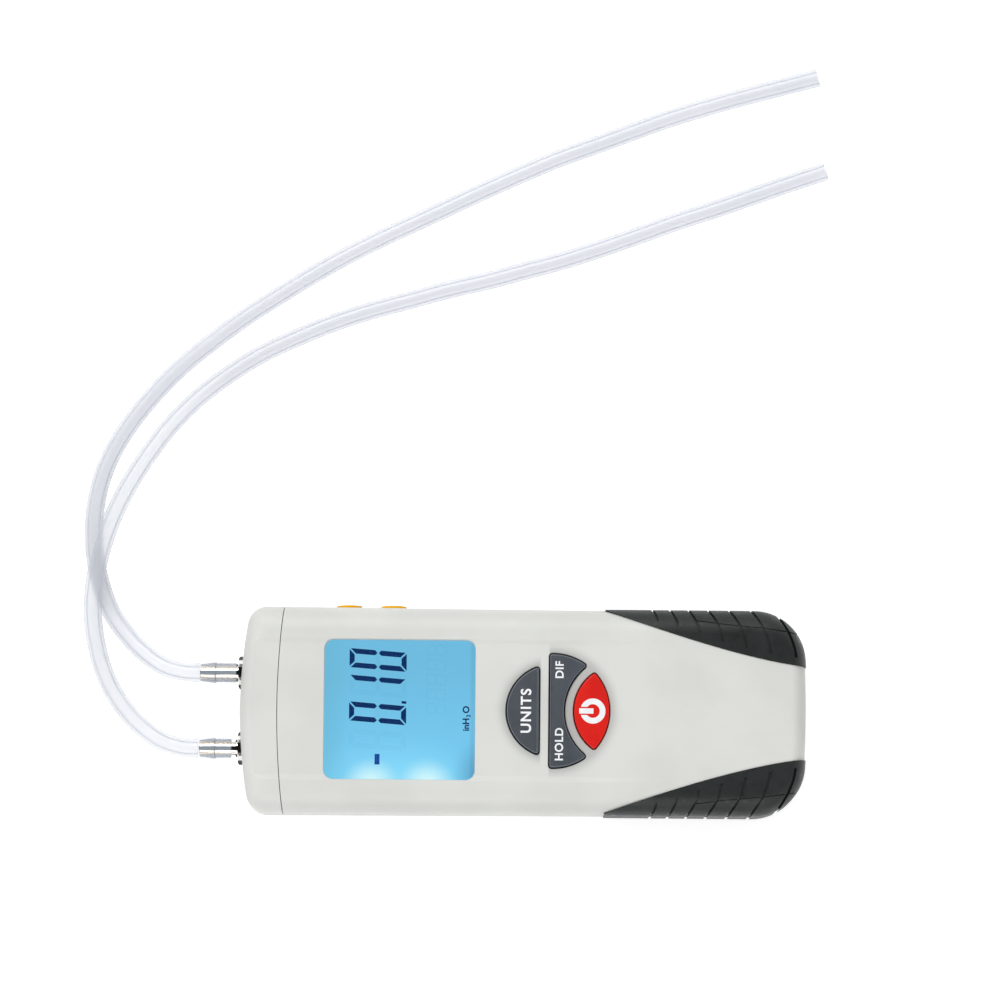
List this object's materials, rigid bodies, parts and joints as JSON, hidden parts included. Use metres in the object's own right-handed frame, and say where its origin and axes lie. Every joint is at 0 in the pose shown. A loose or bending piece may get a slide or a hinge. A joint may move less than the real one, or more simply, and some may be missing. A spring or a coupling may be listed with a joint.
{
  "type": "digital manometer",
  "caption": "Handheld digital manometer with a lit display, press keys, rubber corner grips, a battery door and clear hoses on barbed ports.",
  "frame": {"origin": "centre of the flat back face that the meter lies on", "axes": "+X along the housing from the ports to the tail, +Y towards the side buttons, +Z out of the display face"},
  "size_m": [0.2411, 0.2452, 0.031],
  "materials": {
    "housing": "satin light grey moulding",
    "grip": "matt black rubber",
    "window": "clear gloss",
    "lcd": "lit cyan with navy segments",
    "white_plastic": "matt white",
    "strip": "matt pink silicone",
    "guide": "clear gloss",
    "led": "gloss",
    "board": "green solder mask",
    "black_plastic": "matt black",
    "steel": "zinc plated",
    "key_slate": "satin blue grey",
    "key_red": "satin red",
    "button_yellow": "satin yellow",
    "tube": "milky silicone",
    "nickel": "bright nickel",
    "brass": "turned brass",
    "hose": "clear silicone",
    "battery_case": "satin, unmarked",
    "lead": "satin insulation"
  },
  "bodies": {
    "housing": {"front_shell": "housing", "rear_shell": "housing", "head_cap": "housing", "grip_upper": "grip", "grip_lower": "grip", "display_window": "window", "lcd_glass": "lcd", "lcd_holder": "white_plastic", "lcd_connector_strips": "strip", "backlight_guide": "guide", "backlight_leds": "led", "main_board": "board", "controller_chip": "black_plastic", "board_screws": "steel", "key_switches": "black_plastic", "side_switches": "black_plastic", "pressure_sensor": "black_plastic", "sensor_tube_upper": "tube", "sensor_tube_lower": "tube", "nozzle_upper": "nickel", "nozzle_lower": "nickel", "nozzle_outer_nuts": "nickel", "nozzle_inner_nuts": "brass", "hose_upper": "hose", "hose_lower": "hose", "battery": "battery_case", "battery_snap": "black_plastic", "battery_leads": "lead", "housing_screws": "steel"},
    "units_key": {"key_units": "key_slate"},
    "hold_dif_key": {"key_hold_dif": "key_slate"},
    "power_key": {"key_power": "key_red"},
    "side_button_a": {"side_button_a": "button_yellow"},
    "side_button_b": {"side_button_b": "button_yellow"},
    "battery_door": {"battery_door": "housing"}
  },
  "joints": [
    {"name": "units_press", "type": "slide", "parent": "housing", "child": "units_key", "axis": [0, 0, -1], "range_m": [0, 0.0007], "stiffness_N_per_m": 1000},
    {"name": "power_press", "type": "slide", "parent": "housing", "child": "power_key", "axis": [0, 0, -1], "range_m": [0, 0.0007], "stiffness_N_per_m": 1000},
    {"name": "hold_dif_tilt", "type": "hinge", "parent": "housing", "child": "hold_dif_key", "pos_m": [0.0109, 0, 0.0252], "axis": [1, 0, 0], "range_deg": [-2, 2], "stiffness_Nm_per_rad": 0.3},
    {"name": "side_button_a_press", "type": "slide", "parent": "housing", "child": "side_button_a", "axis": [0, -1, 0], "range_m": [0, 0.0006], "stiffness_N_per_m": 1000},
    {"name": "side_button_b_press", "type": "slide", "parent": "housing", "child": "side_button_b", "axis": [0, -1, 0], "range_m": [0, 0.0006], "stiffness_N_per_m": 1000},
    {"name": "battery_door_slide", "type": "slide", "parent": "housing", "child": "battery_door", "axis": [1, 0, 0], "range_m": [0, 0.056]}
  ]
}
